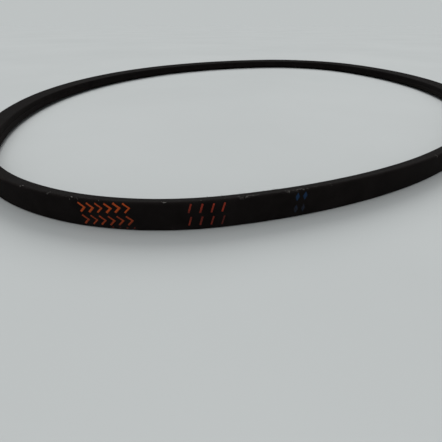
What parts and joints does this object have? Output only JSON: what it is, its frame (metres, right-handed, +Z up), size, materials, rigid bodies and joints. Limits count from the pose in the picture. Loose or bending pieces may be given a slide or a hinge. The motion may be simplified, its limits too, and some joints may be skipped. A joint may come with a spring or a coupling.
{
  "type": "v belt",
  "caption": "Endless wrapped V-belt: a cloth-covered rubber loop of V section with a wound load cord inside, which carries power between grooved pulleys.",
  "frame": {"origin": "middle of the loop, on the surface that the belt lies on", "axes": "+Z up, square to the plane of the loop; +X along the oval's long axis; the back of the V faces outwards"},
  "size_m": [0.4024, 0.2984, 0.0094],
  "materials": {
    "cover_cloth": "matte black rubberised cloth, bias cut",
    "ply_cloth": "matte rubberised cloth",
    "core_rubber": "matte vulcanised rubber",
    "adhesion_gum": "matte adhesion gum",
    "polyester_cord": "twisted polyester yarn",
    "stamp_ink_orange": "thin, worn stamping ink on the back of the belt",
    "stamp_ink_blue": "thin, faded stamping ink on the back of the belt"
  },
  "bodies": {
    "root": {"cover_outer_ply": "cover_cloth", "cover_inner_ply": "ply_cloth", "back_rubber": "core_rubber", "upper_gum": "adhesion_gum", "load_cord": "polyester_cord", "lower_gum": "adhesion_gum", "base_rubber": "core_rubber"}
  },
  "joints": []
}
